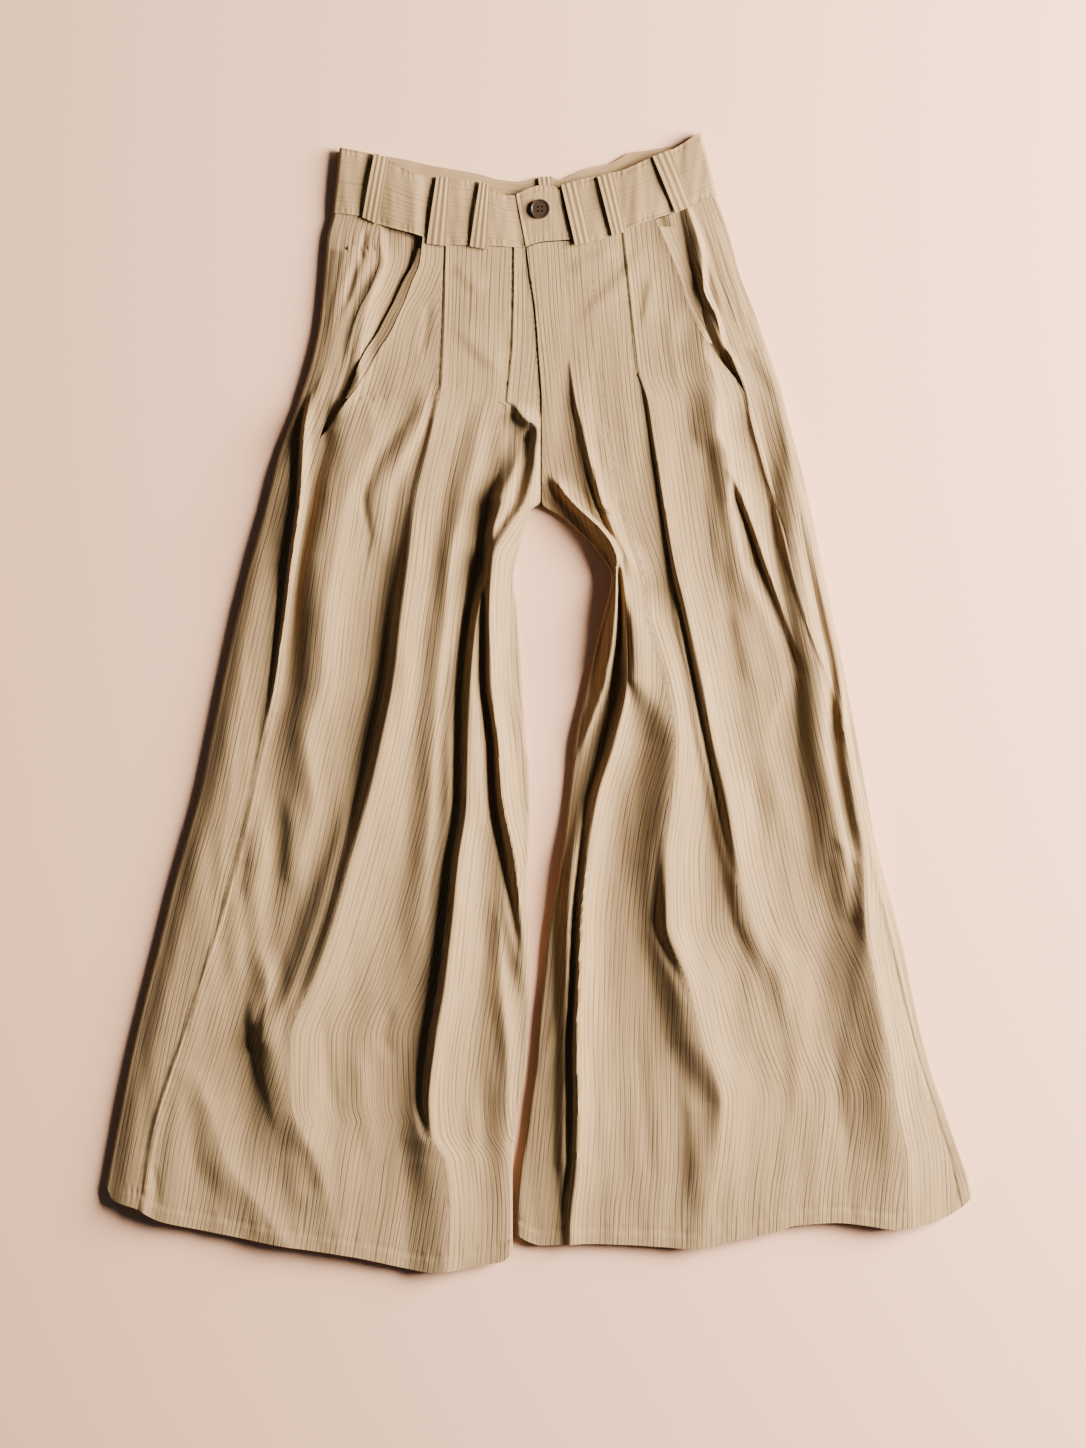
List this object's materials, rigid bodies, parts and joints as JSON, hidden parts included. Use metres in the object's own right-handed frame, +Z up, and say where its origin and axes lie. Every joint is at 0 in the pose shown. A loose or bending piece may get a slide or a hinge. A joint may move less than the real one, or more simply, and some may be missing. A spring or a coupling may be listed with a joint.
{
  "type": "pleated wide-leg trousers laid flat",
  "caption": "Wide-leg ribbed cotton trousers laid flat on a surface, with front pleats, slanted pockets, belt loops, a fly front and a buttoned waistband tab.",
  "frame": {"origin": "on the surface that the trousers lie on, under the middle of their outline", "axes": "+Z up from the surface through the front of the trousers, +Y from the hems towards the waist, +X towards the wearer's left"},
  "size_m": [0.864, 1.1368, 0.0265],
  "materials": {
    "cloth": "matte, finely ribbed cotton",
    "button": "glossy dark brown"
  },
  "bodies": {
    "root": {"front_right": "cloth", "front_left": "cloth", "back_right": "cloth", "back_left": "cloth", "hip_right": "cloth", "hip_left": "cloth", "pocket_edge_right": "cloth", "pocket_edge_left": "cloth", "waistband_front_right": "cloth", "waistband_front_left": "cloth", "waistband_back": "cloth", "waistband_tab": "cloth", "belt_loop_right_1": "cloth", "belt_loop_right_2": "cloth", "belt_loop_right_3": "cloth", "belt_loop_left_1": "cloth", "belt_loop_left_2": "cloth", "belt_loop_left_3": "cloth", "belt_loop_back": "cloth", "button": "button"}
  },
  "joints": []
}
